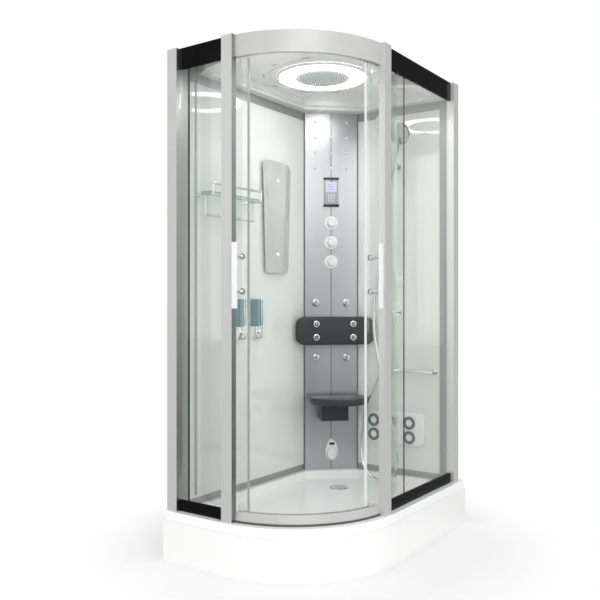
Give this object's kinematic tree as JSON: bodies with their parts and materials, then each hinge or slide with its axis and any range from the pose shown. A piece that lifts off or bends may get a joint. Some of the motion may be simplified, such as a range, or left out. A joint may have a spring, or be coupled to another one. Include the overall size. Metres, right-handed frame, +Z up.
{
  "type": "steam shower cabin",
  "caption": "Corner steam shower cabin with curved sliding glass doors, a column of jets and controls, a folding seat, a hand shower and an acrylic tray.",
  "frame": {"origin": "middle of the footprint on the floor", "axes": "+X along the long back wall towards the cut corner, +Y towards the long wall, +Z up"},
  "size_m": [1.2, 0.8, 2.15],
  "materials": {
    "tray_acrylic": "gloss",
    "skirt_acrylic": "gloss",
    "galvanised_steel": "satin",
    "grey_pvc": "matte",
    "silver_aluminium": "satin",
    "black_band": "gloss",
    "bright_chrome": "polished",
    "clear_glass": "clear",
    "clear_seal": "translucent",
    "white_handle": "gloss",
    "steel_hanger": "satin",
    "roller_nylon": "matte",
    "painted_wall_glass": "back painted",
    "column_steel": "brushed",
    "valve_brass": "cast",
    "panel_silver": "gloss",
    "dark_pad": "soft sheen",
    "dark_seat": "satin",
    "steel_pin": "satin",
    "white_plastic": "gloss",
    "generator_case": "satin",
    "mirror_glass": "mirror",
    "soap_bottle_blue": "translucent",
    "hose_steel": "ribbed",
    "ceiling_acrylic": "gloss",
    "light_diffuser": "lit",
    "roof_acrylic": "gloss",
    "supply_pipe": "matte"
  },
  "bodies": {
    "cabin": {"ceiling_panel": "ceiling_acrylic", "column_panels": "column_steel", "control_panel": "panel_silver", "curved_rails": "silver_aluminium", "door_track": "silver_aluminium", "drain_trap": "grey_pvc", "fixed_bands": "black_band", "fixed_glass": "clear_glass", "foot_plate": "white_plastic", "hose_outlet": "bright_chrome", "knob_rings": "white_plastic", "light_ring": "light_diffuser", "massage_bar": "dark_pad", "mirror": "mirror_glass", "posts": "silver_aluminium", "rain_head": "bright_chrome", "roof_cover": "roof_acrylic", "seat_bracket": "dark_seat", "seat_pin": "steel_pin", "service_frame": "galvanised_steel", "shelf_glass": "clear_glass", "shower_hose": "hose_steel", "slide_rail": "bright_chrome", "soap_housings": "bright_chrome", "soap_reservoirs": "soap_bottle_blue", "speaker": "white_plastic", "steam_generator": "generator_case", "steam_outlet": "white_plastic", "tray": "tray_acrylic", "tray_feet": "grey_pvc", "tray_frame": "galvanised_steel", "tray_skirt": "skirt_acrylic", "valve_body": "valve_brass", "vent_fan": "white_plastic", "wall_frames": "silver_aluminium", "wall_panels": "painted_wall_glass", "wall_rails": "bright_chrome", "water_jets": "bright_chrome", "water_pipe": "supply_pipe"},
    "left_door": {"left_door_glass": "clear_glass", "left_door_seals": "clear_seal", "left_handle": "white_handle", "left_door_hangers": "steel_hanger"},
    "left_front_wheel": {"left_front_roller": "roller_nylon"},
    "left_rear_wheel": {"left_rear_roller": "roller_nylon"},
    "right_door": {"right_door_glass": "clear_glass", "right_door_seals": "clear_seal", "right_handle": "white_handle", "right_door_hangers": "steel_hanger"},
    "right_front_wheel": {"right_front_roller": "roller_nylon"},
    "right_rear_wheel": {"right_rear_roller": "roller_nylon"},
    "mixer_control": {"mixer_knob": "white_plastic"},
    "diverter_control": {"diverter_knob": "white_plastic"},
    "steam_control": {"steam_knob": "white_plastic"},
    "folding_seat": {"seat": "dark_seat"},
    "left_push_button": {"left_soap_button": "bright_chrome"},
    "right_push_button": {"right_soap_button": "bright_chrome"},
    "shower_slider": {"shower_holder": "bright_chrome", "hand_shower": "bright_chrome"},
    "strainer": {"drain_cover": "bright_chrome"}
  },
  "joints": [
    {"name": "left_door_slide", "type": "hinge", "parent": "cabin", "child": "left_door", "pos_m": [-0.1, 0.1, 1.1], "axis": [0, 0, 1], "range_deg": [0, 32.6]},
    {"name": "right_door_slide", "type": "hinge", "parent": "cabin", "child": "right_door", "pos_m": [-0.1, 0.1, 1.1], "axis": [0, 0, -1], "range_deg": [0, 28.9]},
    {"name": "left_front_wheel_spin", "type": "hinge", "parent": "left_door", "child": "left_front_wheel", "pos_m": [-0.52445, 0.0377, 2.0453], "axis": [-0.9894, -0.1452, 0], "continuous": true},
    {"name": "left_rear_wheel_spin", "type": "hinge", "parent": "left_door", "child": "left_rear_wheel", "pos_m": [-0.47647, 0.30569, 2.0453], "axis": [-0.8776, 0.4795, 0], "continuous": true},
    {"name": "right_front_wheel_spin", "type": "hinge", "parent": "right_door", "child": "right_front_wheel", "pos_m": [-0.18956, -0.31955, 2.0453], "axis": [-0.2088, -0.978, 0], "continuous": true},
    {"name": "right_rear_wheel_spin", "type": "hinge", "parent": "right_door", "child": "right_rear_wheel", "pos_m": [0.08096, -0.28896, 2.0453], "axis": [0.4218, -0.9067, 0], "continuous": true},
    {"name": "mixer_turn", "type": "hinge", "parent": "cabin", "child": "mixer_control", "pos_m": [0.40816, 0.23109, 1.445], "axis": [-0.742, -0.6704, 0], "range_deg": [-90, 90]},
    {"name": "diverter_turn", "type": "hinge", "parent": "cabin", "child": "diverter_control", "pos_m": [0.40816, 0.23109, 1.3465], "axis": [-0.742, -0.6704, 0], "range_deg": [0, 180]},
    {"name": "steam_turn", "type": "hinge", "parent": "cabin", "child": "steam_control", "pos_m": [0.40816, 0.23109, 1.248], "axis": [-0.742, -0.6704, 0], "range_deg": [0, 90]},
    {"name": "seat_fold", "type": "hinge", "parent": "cabin", "child": "folding_seat", "pos_m": [0.3859, 0.21098, 0.5655], "axis": [-0.6704, 0.742, 0], "range_deg": [0, 88]},
    {"name": "left_button_press", "type": "slide", "parent": "cabin", "child": "left_push_button", "axis": [0, 1, 0], "range_m": [0, 0.005], "stiffness_N_per_m": 500},
    {"name": "right_button_press", "type": "slide", "parent": "cabin", "child": "right_push_button", "axis": [0, 1, 0], "range_m": [0, 0.005], "stiffness_N_per_m": 500},
    {"name": "slider_height", "type": "slide", "parent": "cabin", "child": "shower_slider", "axis": [0, 0, 1], "range_m": [0, 0.1]},
    {"name": "strainer_lift", "type": "slide", "parent": "cabin", "child": "strainer", "axis": [0, 0, 1], "range_m": [0, 0.06]}
  ],
  "couplings": [
    {"joint": "left_front_wheel_spin", "follows": "left_door_slide", "ratio": -35.75},
    {"joint": "left_rear_wheel_spin", "follows": "left_door_slide", "ratio": -35.75},
    {"joint": "right_front_wheel_spin", "follows": "right_door_slide", "ratio": 35.75},
    {"joint": "right_rear_wheel_spin", "follows": "right_door_slide", "ratio": 35.75}
  ]
}
